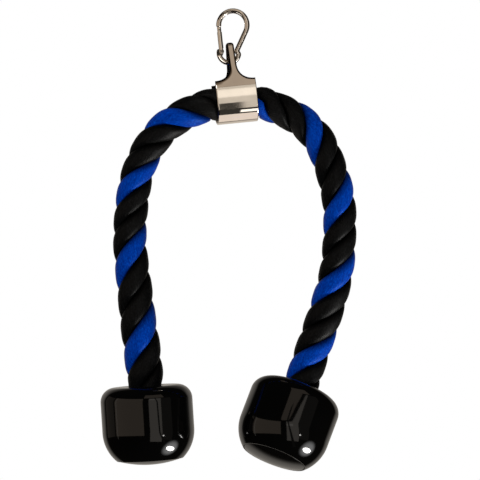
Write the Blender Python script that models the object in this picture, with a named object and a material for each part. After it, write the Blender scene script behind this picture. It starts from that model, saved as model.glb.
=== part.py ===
"""Triceps rope attachment: snap hook, steel strap collar, thick rope and two moulded knobs.

Metres, +Z up. The part hangs from the top of the hook's bow, where the origin is. Its front faces -Y.
"""

import math

import bmesh
import bpy
from mathutils import Matrix, Vector

# Clearances
seat_gap = 0.0003
pin_clearance = 0.0001
cut_overrun = 0.0020

# Snap hook, drawn in its own plane round the centre of the eye
hook_tilt = math.radians(7.9)
hook_wire_diameter = 0.0043
hook_bow_radius = 0.0117
hook_eye_radius = 0.0081
hook_bow_height = 0.0232
hook_neck_half_width = 0.0063
hook_neck_height = 0.0030
hook_neck_reach_share = 0.35
hook_eye_start = math.radians(-4.0)
hook_eye_end = math.radians(-160.0)
hook_tongue_thickness = 0.0016
hook_tongue_overlap = math.radians(6.0)
hook_tongue_bend = math.radians(20.0)
hook_limb_point_shares = (0.33, 0.67)
hook_bow_steps = 26
hook_neck_steps = 7
hook_eye_steps = 22
hook_wire_sides = 12

# Gate of the snap hook
gate_diameter = 0.0040
gate_pivot_half_width = 0.0063
gate_pivot_height = 0.0004
gate_top_gap = 0.0004
gate_slot_depth = 0.0043
gate_end_chamfer = 0.0003
gate_sides = 24
nose_reach = 0.0042
nose_half_width = 0.00145
rivet_diameter = 0.0015
rivet_head_diameter = 0.0026
rivet_head_height = 0.0005
latch_pin_diameter = 0.0010
gate_bore_diameter = 0.0023
gate_bore_depth = 0.0085
plunger_length = 0.0027
spring_wire_diameter = 0.0003
spring_curls = 6
points_per_curl = 10
spring_bevel_resolution = 1

# Rope
rope_diameter = 0.0280
rope_swell = 0.0009
rope_point_spacing = 0.0100
rope_end_run = 0.0030
rope_bevel_resolution = 4
route_steps = 12

# Strap collar, drawn round the rope's axis with the fold above it
collar_centre = Vector((0.0010, 0.0, -0.0737))
collar_tilt = math.radians(6.0)
collar_yaw = math.radians(7.0)
collar_width = 0.0336
collar_height = 0.0500
collar_shoulder_height = 0.0188
strap_thickness = 0.0016
strap_edge_chamfer = 0.0003
stem_width = 0.0061
fold_crest_width = 0.0048
strap_round_steps = 14
strap_flare_steps = 9
strap_fold_steps = 6

# Knobs, drawn with the top face's centre at the origin and the axis down -Z
knob_diameter = 0.0760
knob_height = 0.0652
knob_top_flat_radius = 0.0260
knob_shoulder_height = 0.0120
knob_straight_end = 0.0370
knob_wall = 0.0030
knob_lip_width = 0.0006
knob_bore_round = 0.0010
socket_wall = 0.0026
cap_diameter = 0.0530
cap_dome_height = 0.0042
cap_edge_height = 0.0022
cap_floor_thickness = 0.0026
cap_ledge_width = 0.0015
cap_snap_height = 0.0045
cap_snap_wall = 0.0018
ferrule_wall = 0.0016
ferrule_length = 0.0114
washer_rim = 0.0012
washer_thickness = 0.0015
screw_diameter = 0.0050
screw_head_diameter = 0.0110
screw_head_height = 0.0028
screw_length = 0.0240
screw_room = 0.0080
knob_shoulder_steps = 6
knob_belly_steps = 8
knob_inner_steps = 4
cap_dome_steps = 6
knob_sides = 36
fastener_sides = 24

# Where each knob's top face lies, and how it leans: in the plane of the arch, then to the front
knob_left_top = Vector((-0.0723, 0.0, -0.3076))
knob_left_lean = math.radians(-3.8)
knob_left_nod = 0.0
knob_right_top = Vector((0.0548, 0.0040, -0.3109))
knob_right_lean = math.radians(21.0)
knob_right_nod = math.radians(-17.0)

# Where the rope goes between a collar mouth and a knob, from the mouth down
rope_left_route = [
    (-0.0345, -0.0036, -0.0803),
    (-0.0549, -0.0030, -0.0922),
    (-0.0704, -0.0015, -0.1109),
    (-0.0795, 0.0, -0.1321),
    (-0.0848, 0.0, -0.1603),
    (-0.0862, 0.0, -0.1864),
    (-0.0843, 0.0, -0.2092),
    (-0.0817, 0.0, -0.2292),
    (-0.0789, 0.0, -0.2531),
    (-0.0760, 0.0, -0.2773),
]
rope_right_route = [
    (0.0345, 0.0036, -0.0770),
    (0.0475, 0.0038, -0.0829),
    (0.0601, 0.0032, -0.0920),
    (0.0709, 0.0020, -0.1053),
    (0.0786, 0.0010, -0.1225),
    (0.0853, 0.0, -0.1441),
    (0.0886, 0.0, -0.1648),
    (0.0884, 0.0, -0.1852),
    (0.0868, 0.0004, -0.2048),
    (0.0829, 0.0020, -0.2242),
    (0.0766, 0.0048, -0.2461),
    (0.0700, 0.0077, -0.2653),
    (0.0630, 0.0085, -0.2864),
]

# Where each limb bends: near the collar in the plane of the arch, and half way down to front and back
limb_left_pivot = Vector((-0.0440, 0.0, -0.0855))
limb_right_pivot = Vector((0.0460, 0.0, -0.0825))
bend_left_pivot = Vector((-0.0861, 0.0, -0.1900))
bend_right_pivot = Vector((0.0883, 0.0, -0.1900))

# Edges sharper than this stay crisp under the smooth shading
crisp_edge_angle = math.radians(35.0)

# Finishes: colour, roughness, metallic
finishes = {
    "hook_steel": ((0.80, 0.76, 0.71), 0.12, 1.0),
    "pin_steel": ((0.72, 0.70, 0.67), 0.25, 1.0),
    "collar_steel": ((0.80, 0.75, 0.69), 0.14, 1.0),
    "zinc_steel": ((0.60, 0.61, 0.62), 0.35, 1.0),
    "rope_yarn": ((0.015, 0.030, 0.120), 0.80, 0.0),
    "knob_plastic": ((0.012, 0.012, 0.012), 0.08, 0.0),
    "cap_plastic": ((0.012, 0.012, 0.012), 0.10, 0.0),
}

# Sizes that follow from the ones above
wire_radius = hook_wire_diameter / 2
gate_radius = gate_diameter / 2
rope_radius = rope_diameter / 2
hook_height = hook_bow_height + hook_bow_radius - wire_radius
collar_inner_radius = rope_radius + rope_swell + seat_gap
collar_outer_radius = collar_inner_radius + strap_thickness
fold_inner_radius = wire_radius + seat_gap
fold_outer_radius = fold_inner_radius + strap_thickness
fold_height = collar_height - fold_outer_radius
leg_lean = math.asin((collar_outer_radius - fold_outer_radius) / fold_height)
gate_slot_width = hook_tongue_thickness + 2 * seat_gap
knob_radius = knob_diameter / 2
knob_mouth_depth = knob_height - cap_dome_height
cap_radius = cap_diameter / 2
knob_mouth_radius = cap_radius + seat_gap
bore_radius = rope_radius + seat_gap
socket_radius = bore_radius + socket_wall
ferrule_radius = rope_radius + seat_gap + ferrule_wall
hardware_height = ferrule_length + washer_thickness + screw_head_height + 2 * seat_gap + pin_clearance
socket_depth = knob_mouth_depth - cap_floor_thickness - screw_room - hardware_height
tail_end = socket_depth + seat_gap + ferrule_length
plunger_start = wire_radius + pin_clearance
plunger_end = plunger_start + plunger_length


def clear_scene():
    for obj in list(bpy.data.objects):
        bpy.data.objects.remove(obj, do_unlink=True)


def make_material(name):
    colour, roughness, metallic = finishes[name]
    material = bpy.data.materials.new(name)
    material.use_nodes = True
    shader = material.node_tree.nodes["Principled BSDF"]
    shader.inputs["Base Color"].default_value = (*colour, 1.0)
    shader.inputs["Roughness"].default_value = roughness
    shader.inputs["Metallic"].default_value = metallic
    material.diffuse_color = (*colour, 1.0)
    return material


def make_empty(name, world, parent=None):
    """Frame or joint marker; world is its place, whatever it hangs on."""
    empty = bpy.data.objects.new(name, None)
    bpy.context.collection.objects.link(empty)
    empty.matrix_basis = world
    if parent is not None:
        empty.parent = parent
        empty.matrix_parent_inverse = parent.matrix_world.inverted()
    bpy.context.view_layer.update()
    return empty


def add_object(name, data, finish, joint, frame):
    """Link one named piece, drawn in frame, under the joint that moves it and with its origin there."""
    obj = bpy.data.objects.new(name, data)
    bpy.context.collection.objects.link(obj)
    data.transform(joint.matrix_world.inverted() @ frame)
    obj.parent = joint
    if finish:
        material = bpy.data.materials.get(finish) or make_material(finish)
        data.materials.append(material)
    if isinstance(data, bpy.types.Mesh):
        data.shade_smooth()
        data.set_sharp_from_angle(angle=crisp_edge_angle)
    return obj


def add_cutter(name, mesh, joint, frame):
    cutter = add_object(name, mesh, None, joint, frame)
    cutter.hide_render = True
    cutter.display_type = "WIRE"
    return cutter


def join(obj, tool, operation):
    modifier = obj.modifiers.new(tool.name, "BOOLEAN")
    modifier.object = tool
    modifier.operation = operation
    modifier.solver = "EXACT"


def mesh_of(name, bm):
    bmesh.ops.recalc_face_normals(bm, faces=bm.faces)
    mesh = bpy.data.meshes.new(name)
    bm.to_mesh(mesh)
    bm.free()
    return mesh


def bridge(bm, first, second):
    count = len(first)
    for index in range(count):
        after = (index + 1) % count
        bm.faces.new((first[index], first[after], second[after], second[index]))


def lofted(name, rings, closed):
    """Skin over rings of points; the ends are capped, or joined where the rings close on themselves."""
    bm = bmesh.new()
    loops = [[bm.verts.new(point) for point in ring] for ring in rings]
    for first, second in zip(loops, loops[1:]):
        bridge(bm, first, second)
    if closed:
        bridge(bm, loops[-1], loops[0])
    else:
        bm.faces.new(list(reversed(loops[0])))
        bm.faces.new(loops[-1])
    return mesh_of(name, bm)


def turned(name, profile, sides):
    """Turn a closed outline of (radius, height) about Z; points on the axis become one vertex."""
    bm = bmesh.new()
    loops = []
    for radius, height in profile:
        if radius == 0:
            loops.append([bm.verts.new((0, 0, height))])
            continue
        angles = [2 * math.pi * step / sides for step in range(sides)]
        loops.append([bm.verts.new((radius * math.cos(a), radius * math.sin(a), height)) for a in angles])
    for first, second in zip(loops, loops[1:] + loops[:1]):
        if len(first) == 1 and len(second) == 1:
            continue
        if len(first) > 1 and len(second) > 1:
            bridge(bm, first, second)
            continue
        tip, loop = (first[0], second) if len(first) == 1 else (second[0], first)
        for index, vertex in enumerate(loop):
            bm.faces.new((tip, vertex, loop[(index + 1) % sides]))
    return mesh_of(name, bm)


def cylinder(name, radius, low, high, sides):
    return turned(name, [(0, low), (radius, low), (radius, high), (0, high)], sides)


def disc_hull(name, discs, thickness, sides):
    """Flat plate in the XZ plane: the convex outline round discs of (x, z, radius)."""
    bm = bmesh.new()
    for x, z, radius in discs:
        for step in range(sides):
            angle = 2 * math.pi * step / sides
            for side in (-thickness / 2, thickness / 2):
                bm.verts.new((x + radius * math.cos(angle), side, z + radius * math.sin(angle)))
    result = bmesh.ops.convex_hull(bm, input=bm.verts)
    inside = [item for item in result["geom_interior"] if isinstance(item, bmesh.types.BMVert)]
    bmesh.ops.delete(bm, geom=inside, context="VERTS")
    return mesh_of(name, bm)


def arc(centre, radius, start, end, steps):
    """Points of a round stretch in a plane, from one angle to another."""
    points = []
    for step in range(steps + 1):
        angle = start + (end - start) * step / steps
        points.append((centre[0] + radius * math.cos(angle), centre[1] + radius * math.sin(angle)))
    return points


def limb_lean(half_width, height):
    """Lean of the straight line that runs from a point up to touch the hook's bow."""
    rise = hook_bow_height - height
    reach = math.hypot(half_width, rise)
    return math.asin(hook_bow_radius / reach) - math.atan2(half_width, rise)


def hook_centreline():
    """The bent wire's centreline in the hook's plane, from the nose round to the eye's end."""
    right_lean = limb_lean(hook_neck_half_width, hook_neck_height)
    left_lean = limb_lean(gate_pivot_half_width, gate_pivot_height)
    bow_centre = (0, hook_bow_height)
    points = arc(bow_centre, hook_bow_radius, math.pi + left_lean, -right_lean, hook_bow_steps)
    neck = Vector((hook_neck_half_width, hook_neck_height))
    eye_entry = Vector((math.cos(hook_eye_start), math.sin(hook_eye_start))) * hook_eye_radius
    reach = hook_neck_reach_share * (eye_entry - neck).length
    leaving = neck - reach * Vector((math.sin(right_lean), math.cos(right_lean)))
    arriving = eye_entry + reach * Vector((-math.sin(hook_eye_start), math.cos(hook_eye_start)))
    last = Vector(points[-1])
    points += [tuple(last.lerp(neck, share)) for share in hook_limb_point_shares]
    for step in range(hook_neck_steps):
        t = step / hook_neck_steps
        blend = ((1 - t) ** 3 * neck + 3 * (1 - t) ** 2 * t * leaving
                 + 3 * (1 - t) * t ** 2 * arriving + t ** 3 * eye_entry)
        points.append(tuple(blend))
    return points + arc((0, 0), hook_eye_radius, hook_eye_start, hook_eye_end, hook_eye_steps)


def swept_wire(name, points, radius, sides):
    """Round wire along points in the XZ plane, its ends square to the path."""
    rings = []
    last = len(points) - 1
    for index, (x, z) in enumerate(points):
        before = Vector(points[max(index - 1, 0)])
        after = Vector(points[min(index + 1, last)])
        across = (after - before).normalized()
        normal = Vector((-across.y, across.x))
        ring = []
        for step in range(sides):
            angle = 2 * math.pi * step / sides
            out = radius * math.cos(angle)
            ring.append((x + normal.x * out, radius * math.sin(angle), z + normal.y * out))
        rings.append(ring)
    return lofted(name, rings, closed=False)


def build_hook(root, frame, gate_joint, gate_frame):
    """Bent wire with a flattened tongue at each end: one for the rivet, one for the gate's latch pin."""
    path = hook_centreline()
    body = add_object("carabiner_body", swept_wire("carabiner_body", path, wire_radius, hook_wire_sides),
                      "hook_steel", root, frame)
    tongue = arc((0, 0), hook_eye_radius, hook_eye_end + hook_tongue_overlap,
                 hook_eye_end - hook_tongue_bend, 2)
    tongue.append((-gate_pivot_half_width, gate_pivot_height))
    discs = [(x, z, wire_radius) for x, z in tongue]
    eye_tongue = add_cutter("eye_tongue", disc_hull("eye_tongue", discs, hook_tongue_thickness, gate_sides),
                            root, frame)
    join(body, eye_tongue, "UNION")

    nose_tip = gate_length() + gate_top_gap - nose_reach + nose_half_width
    tongue_root = gate_length() + gate_top_gap + nose_half_width
    nose_discs = [(0, tongue_root, nose_half_width), (0, nose_tip, nose_half_width)]
    nose_tongue = add_cutter("nose_tongue",
                             disc_hull("nose_tongue", nose_discs, hook_tongue_thickness, gate_sides),
                             root, gate_frame)
    join(body, nose_tongue, "UNION")

    notch_radius = latch_pin_diameter / 2 + seat_gap
    notch_discs = [(0, nose_tip, notch_radius), (nose_half_width + cut_overrun, nose_tip, notch_radius)]
    notch = add_cutter("nose_notch", disc_hull("nose_notch", notch_discs, cut_overrun * 2, gate_sides),
                       root, gate_frame)
    join(body, notch, "DIFFERENCE")
    hole = add_cutter("rivet_hole", rivet_bore("rivet_hole"), root, gate_frame)
    join(body, hole, "DIFFERENCE")
    build_gate(gate_joint, gate_frame, nose_tip)


def gate_length():
    """From the gate's pivot to its free end, just short of the nose."""
    lean = limb_lean(gate_pivot_half_width, gate_pivot_height)
    seam_x = hook_bow_radius * math.cos(lean) - gate_pivot_half_width
    seam_z = hook_bow_height - hook_bow_radius * math.sin(lean) - gate_pivot_height
    return math.hypot(seam_x, seam_z) - gate_top_gap


def along_y(mesh):
    mesh.transform(Matrix.Rotation(math.radians(90.0), 4, "X"))
    return mesh


def rivet_bore(name):
    reach = gate_radius + cut_overrun
    return along_y(cylinder(name, rivet_diameter / 2 + pin_clearance, -reach, reach, gate_sides))


def build_gate(joint, frame, pin_height):
    """Round gate with a slot at each end, its rivet, latch pin, plunger and spring."""
    length = gate_length()
    outline = [(0, -gate_radius), (gate_radius, -gate_radius), (gate_radius, length - gate_end_chamfer),
               (gate_radius - gate_end_chamfer, length), (0, length)]
    gate = add_object("carabiner_gate", turned("carabiner_gate", outline, gate_sides), "hook_steel",
                      joint, frame)
    slot_top = wire_radius + seat_gap
    round_end = disc_hull("gate_round_end", [(0, 0, gate_radius), (0, length, gate_radius)],
                          gate_diameter + cut_overrun, gate_sides * 2)
    cuts = [
        ("gate_lower_slot", slot_box("gate_lower_slot", -gate_radius - cut_overrun, slot_top)),
        ("gate_upper_slot", slot_box("gate_upper_slot", length - gate_slot_depth, length + cut_overrun)),
        ("gate_bore", cylinder("gate_bore", gate_bore_diameter / 2, slot_top - pin_clearance,
                               slot_top + gate_bore_depth, gate_sides)),
        ("gate_rivet_hole", rivet_bore("gate_rivet_hole")),
        ("gate_latch_hole", pin_bore("gate_latch_hole", pin_height)),
    ]
    join(gate, add_cutter("gate_round_end", round_end, joint, frame), "INTERSECT")
    for name, mesh in cuts:
        join(gate, add_cutter(name, mesh, joint, frame), "DIFFERENCE")

    head = rivet_head_diameter / 2
    shank = rivet_diameter / 2
    seat = gate_radius + pin_clearance
    top = seat + rivet_head_height
    rivet_outline = [(0, -top), (head / 2, -top), (head, -seat - pin_clearance), (head, -seat),
                     (shank, -seat), (shank, seat), (head, seat), (head, seat + pin_clearance),
                     (head / 2, top), (0, top)]
    add_object("gate_rivet", along_y(turned("gate_rivet", rivet_outline, gate_sides)), "pin_steel",
               joint, frame)

    half_chord = math.sqrt(gate_radius ** 2 - (latch_pin_diameter / 2) ** 2)
    pin = along_y(cylinder("gate_latch_pin", latch_pin_diameter / 2, -half_chord, half_chord, gate_sides))
    pin.transform(Matrix.Translation((0, 0, pin_height)))
    add_object("gate_latch_pin", pin, "pin_steel", joint, frame)

    plunger_radius = gate_bore_diameter / 2 - pin_clearance
    tip = plunger_radius / 2
    plunger_outline = [(0, plunger_start), (tip, plunger_start), (plunger_radius, plunger_start + tip),
                       (plunger_radius, plunger_end), (0, plunger_end)]
    add_object("gate_plunger", turned("gate_plunger", plunger_outline, gate_sides), "pin_steel",
               joint, frame)
    add_object("gate_spring", spring_curve(slot_top + gate_bore_depth), "pin_steel", joint, frame)


def slot_box(name, low, high):
    """Cutter as wide as the tongue and its clearances, right across the gate."""
    reach = gate_radius + cut_overrun
    half = gate_slot_width / 2
    rings = [[(-reach, -half, z), (reach, -half, z), (reach, half, z), (-reach, half, z)]
             for z in (low, high)]
    return lofted(name, rings, closed=False)


def pin_bore(name, height):
    reach = gate_radius + cut_overrun
    mesh = along_y(cylinder(name, latch_pin_diameter / 2 + pin_clearance, -reach, reach, gate_sides))
    mesh.transform(Matrix.Translation((0, 0, height)))
    return mesh


def tube_curve(name, points, diameter, resolution):
    curve = bpy.data.curves.new(name, "CURVE")
    curve.dimensions = "3D"
    curve.bevel_depth = diameter / 2
    curve.bevel_resolution = resolution
    curve.use_fill_caps = True
    spline = curve.splines.new("POLY")
    spline.points.add(len(points) - 1)
    for target, point in zip(spline.points, points):
        target.co = (*point, 1.0)
    return curve


def spring_curve(bore_top):
    """Coil spring between the plunger and the end of the gate's bore."""
    low = plunger_end + spring_wire_diameter
    high = bore_top - spring_wire_diameter
    radius = gate_bore_diameter / 2 - pin_clearance - spring_wire_diameter / 2
    count = spring_curls * points_per_curl
    points = []
    for step in range(count + 1):
        angle = 2 * math.pi * step / points_per_curl
        height = low + (high - low) * step / count
        points.append((radius * math.cos(angle), radius * math.sin(angle), height))
    return tube_curve("gate_spring", points, spring_wire_diameter, spring_bevel_resolution)


def strap_stations():
    """Half of the strap in side view, from the seam under the rope to the fold's crest.

    Each station is (y, z) on the strap's middle, (y, z) of its outward normal, and half its width there.
    """
    half = strap_thickness / 2
    radius = collar_inner_radius + half
    fold_radius = fold_inner_radius + half
    stations = []
    sweep = math.pi / 2 + leg_lean
    for step in range(strap_round_steps + 1):
        angle = sweep * step / strap_round_steps
        normal = Vector((-math.sin(angle), -math.cos(angle)))
        stations.append((normal * radius, normal, collar_width / 2))
    normal = Vector((-math.cos(leg_lean), math.sin(leg_lean)))
    up = Vector((math.sin(leg_lean), math.cos(leg_lean)))
    shoulder = normal * radius + up * (collar_shoulder_height - normal.y * radius) / up.y
    flare = (collar_width - stem_width) / 2
    for step in range(strap_flare_steps + 1):
        angle = math.pi / 2 * step / strap_flare_steps
        point = shoulder + up * flare * (1 - math.cos(angle))
        stations.append((point, normal, collar_width / 2 - flare * math.sin(angle)))
    fold_centre = Vector((0, fold_height))
    turn = math.pi / 2 - leg_lean
    for step in range(strap_fold_steps + 1):
        angle = leg_lean + turn * step / strap_fold_steps
        normal = Vector((-math.cos(angle), math.sin(angle)))
        share = (1 - math.cos(angle - leg_lean)) / (1 - math.cos(turn))
        narrowing = share * (stem_width - fold_crest_width)
        stations.append((fold_centre + normal * fold_radius, normal, (stem_width - narrowing) / 2))
    return stations


def strap_ring(point, normal, half_width):
    """Cross-section of the strap: a rectangle with its four corners chamfered."""
    half = strap_thickness / 2
    chamfer = strap_edge_chamfer
    section = [(-half_width + chamfer, -half), (half_width - chamfer, -half),
               (half_width, -half + chamfer), (half_width, half - chamfer),
               (half_width - chamfer, half), (-half_width + chamfer, half),
               (-half_width, half - chamfer), (-half_width, -half + chamfer)]
    return [(x, point.x + normal.x * out, point.y + normal.y * out) for x, out in section]


def build_collar(joint, frame):
    front = strap_stations()
    rings = [strap_ring(*station) for station in front]
    mirror = Vector((-1, 1))
    for point, normal, half_width in reversed(front[1:-1]):
        rings.append(strap_ring(point * mirror, normal * mirror, half_width))
    add_object("collar_strap", lofted("collar_strap", rings, closed=True), "collar_steel", joint, frame)
    half = collar_width / 2
    points = [(-half, 0, 0), (half, 0, 0)]
    centre = tube_curve("rope_centre", points, rope_diameter + 2 * rope_swell, rope_bevel_resolution)
    add_object("rope_centre", centre, "rope_yarn", joint, frame)


def smooth_route(knots, per_span):
    """Points of a smooth curve through the knots, many to each span."""
    ends = [knots[0] * 2 - knots[1]] + knots + [knots[-1] * 2 - knots[-2]]
    points = []
    for index in range(1, len(ends) - 2):
        before, start, end, after = ends[index - 1:index + 3]
        first = (start - before).length ** 0.5
        middle = (end - start).length ** 0.5
        last = (after - end).length ** 0.5
        leaving = (start - before) / first - (end - before) / (first + middle) + (end - start) / middle
        arriving = (end - start) / middle - (after - start) / (middle + last) + (after - end) / last
        for step in range(per_span):
            t = step / per_span
            near = (2 * t ** 3 - 3 * t ** 2 + 1) * start + (t ** 3 - 2 * t ** 2 + t) * middle * leaving
            far = (3 * t ** 2 - 2 * t ** 3) * end + (t ** 3 - t ** 2) * middle * arriving
            points.append(near + far)
    points.append(knots[-1])
    return points


def lengths_along(points):
    total = [0.0]
    for first, second in zip(points, points[1:]):
        total.append(total[-1] + (second - first).length)
    return total


def point_at(points, lengths, distance):
    index = next(i for i in range(1, len(lengths)) if lengths[i] >= distance or i == len(lengths) - 1)
    span = lengths[index] - lengths[index - 1]
    return points[index - 1].lerp(points[index], (distance - lengths[index - 1]) / span)


def stretch(points, lengths, low, high):
    """Evenly spaced points of the route between two distances, with a short square run at each end."""
    inner_low = low + rope_end_run
    inner_high = high - rope_end_run
    count = max(2, round((inner_high - inner_low) / rope_point_spacing))
    distances = [inner_low + (inner_high - inner_low) * step / count for step in range(count + 1)]
    run = [point_at(points, lengths, distance) for distance in distances]
    first = point_at(points, lengths, low)
    last = point_at(points, lengths, high)
    run[0] = first + direction_at(points, lengths, low) * rope_end_run
    run[-1] = last - direction_at(points, lengths, high) * rope_end_run
    return [first, *run, last]


def direction_at(points, lengths, distance):
    low = max(distance - rope_end_run / 2, 0.0)
    high = min(distance + rope_end_run / 2, lengths[-1])
    return (point_at(points, lengths, high) - point_at(points, lengths, low)).normalized()


def nearest_distance(points, lengths, target):
    best = min(range(len(points)), key=lambda index: (points[index] - target).length)
    return lengths[best]


def build_limb(side, mouth, leaving, route, knob_frame, upper_joint, lower_joint, bend):
    """Free rope of one limb, from a collar mouth to a knob, in two stretches cut where it bends."""
    down = knob_frame.to_3x3() @ Vector((0, 0, -1))
    top = knob_frame.translation
    start = mouth + leaving * seat_gap
    end = top - down * seat_gap
    knots = [start + leaving * rope_end_run * count for count in (0, 1, 2)]
    knots += [Vector(point) for point in route]
    knots += [end - down * rope_end_run * count for count in (2, 1, 0)]
    points = smooth_route(knots, route_steps)
    lengths = lengths_along(points)
    cut = nearest_distance(points, lengths, bend)
    runs = (
        (f"rope_{side}_upper", stretch(points, lengths, 0.0, cut - seat_gap / 2), upper_joint),
        (f"rope_{side}_lower", stretch(points, lengths, cut + seat_gap / 2, lengths[-1]), lower_joint),
    )
    for name, run, joint in runs:
        tube = tube_curve(name, run, rope_diameter, rope_bevel_resolution)
        add_object(name, tube, "rope_yarn", joint, Matrix())


def knob_outer_curve():
    """Outside of the shell from the top flat's rim to the mouth's lip."""
    shoulder_width = knob_radius - knob_top_flat_radius
    points = []
    for step in range(knob_shoulder_steps + 1):
        angle = math.pi / 2 * step / knob_shoulder_steps
        points.append((knob_top_flat_radius + shoulder_width * math.sin(angle),
                       -knob_shoulder_height * (1 - math.cos(angle))))
    lip_radius = knob_mouth_radius + knob_lip_width
    run = knob_mouth_depth - knob_straight_end
    narrowing = knob_radius - lip_radius
    turn = 2 * math.atan2(narrowing, run)
    radius = run / math.sin(turn)
    for step in range(knob_belly_steps + 1):
        angle = turn * step / knob_belly_steps
        points.append((knob_radius - radius * (1 - math.cos(angle)),
                       -knob_straight_end - radius * math.sin(angle)))
    return points


def knob_inner_curve():
    """Inside of the shell from the cap's ledge up to the underside of the top."""
    ledge_radius = knob_mouth_radius - cap_ledge_width
    ledge_depth = knob_mouth_depth - cap_edge_height
    inner_radius = knob_radius - knob_wall
    turn_depth = knob_straight_end + knob_wall
    narrowing = inner_radius - ledge_radius
    turn = 2 * math.atan2(narrowing, ledge_depth - turn_depth)
    radius = (ledge_depth - turn_depth) / math.sin(turn)
    points = []
    for step in range(knob_inner_steps, -1, -1):
        angle = turn * step / knob_inner_steps
        points.append((inner_radius - radius * (1 - math.cos(angle)),
                       -turn_depth - radius * math.sin(angle)))
    shoulder_width = inner_radius - knob_top_flat_radius
    drop = knob_shoulder_height - knob_wall
    for step in range(knob_inner_steps, -1, -1):
        angle = math.pi / 2 * step / knob_inner_steps
        points.append((knob_top_flat_radius + shoulder_width * math.sin(angle),
                       -knob_wall - drop * (1 - math.cos(angle))))
    return points


def shell_outline():
    ledge_depth = knob_mouth_depth - cap_edge_height
    outline = [(bore_radius, -knob_bore_round), (bore_radius + knob_bore_round, 0)]
    outline += knob_outer_curve()
    outline += [(knob_mouth_radius, -knob_mouth_depth), (knob_mouth_radius, -ledge_depth)]
    outline += knob_inner_curve()
    outline += [(socket_radius, -knob_wall), (socket_radius, -socket_depth), (bore_radius, -socket_depth)]
    return outline


def cap_outline():
    """Domed cap whose rim fills the mouth and whose inner ring snaps into the shell."""
    rim = -knob_mouth_depth
    radius = (cap_radius ** 2 + cap_dome_height ** 2) / (2 * cap_dome_height)
    half_angle = math.asin(cap_radius / radius)
    snap_radius = knob_mouth_radius - cap_ledge_width - seat_gap
    snap_top = rim + cap_edge_height + cap_snap_height
    floor = rim + cap_floor_thickness
    points = []
    for step in range(cap_dome_steps + 1):
        angle = half_angle * step / cap_dome_steps
        points.append((radius * math.sin(angle), -knob_height + radius * (1 - math.cos(angle))))
    points[0] = (0, -knob_height)
    edge_top = rim + cap_edge_height - seat_gap
    points += [(cap_radius, edge_top), (snap_radius, edge_top), (snap_radius, snap_top),
               (snap_radius - cap_snap_wall, snap_top), (snap_radius - cap_snap_wall, floor), (0, floor)]
    return points


def build_knob(side, twist_joint, rope_joint, frame):
    """Moulded knob, and the hardware inside it that keeps the rope's end from pulling out."""
    shell = turned(f"knob_{side}_shell", shell_outline(), knob_sides)
    add_object(f"knob_{side}_shell", shell, "knob_plastic", twist_joint, frame)
    cap = turned(f"knob_{side}_cap", cap_outline(), knob_sides)
    add_object(f"knob_{side}_cap", cap, "cap_plastic", twist_joint, frame)

    shank = screw_diameter / 2
    hole = shank + pin_clearance
    hole_depth = tail_end - screw_length - seat_gap
    tail_outline = [(0, 0), (rope_radius, 0), (rope_radius, -tail_end), (hole, -tail_end),
                    (hole, -hole_depth), (0, -hole_depth)]
    tail = turned(f"rope_{side}_tail", tail_outline, fastener_sides)
    add_object(f"rope_{side}_tail", tail, "rope_yarn", rope_joint, frame)

    top = -socket_depth - seat_gap
    ferrule_bore = rope_radius + seat_gap
    ferrule_outline = [(ferrule_bore, top), (ferrule_radius, top), (ferrule_radius, top - ferrule_length),
                       (ferrule_bore, top - ferrule_length)]
    ferrule = turned(f"ferrule_{side}", ferrule_outline, knob_sides)
    add_object(f"ferrule_{side}", ferrule, "zinc_steel", rope_joint, frame)

    washer_top = -tail_end - seat_gap
    washer_bottom = washer_top - washer_thickness
    washer_radius = ferrule_radius + washer_rim
    washer_outline = [(hole, washer_top), (washer_radius, washer_top), (washer_radius, washer_bottom),
                      (hole, washer_bottom)]
    washer = turned(f"washer_{side}", washer_outline, knob_sides)
    add_object(f"washer_{side}", washer, "zinc_steel", rope_joint, frame)

    head_top = washer_bottom - pin_clearance
    head = screw_head_diameter / 2
    head_bottom = head_top - screw_head_height
    recess = shank / 2
    recess_top = head_bottom + screw_head_height / 2
    tip = -tail_end + screw_length
    screw_outline = [(0, tip), (shank, tip - screw_diameter), (shank, head_top), (head, head_top),
                     (head, head_top - screw_head_height / 2), (head - recess, head_bottom),
                     (recess, head_bottom), (recess, recess_top), (0, recess_top)]
    screw = turned(f"screw_{side}", screw_outline, fastener_sides)
    add_object(f"screw_{side}", screw, "zinc_steel", rope_joint, frame)


def knob_frame(top, lean, nod):
    return Matrix.Translation(top) @ Matrix.Rotation(lean, 4, "Y") @ Matrix.Rotation(nod, 4, "X")


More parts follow.
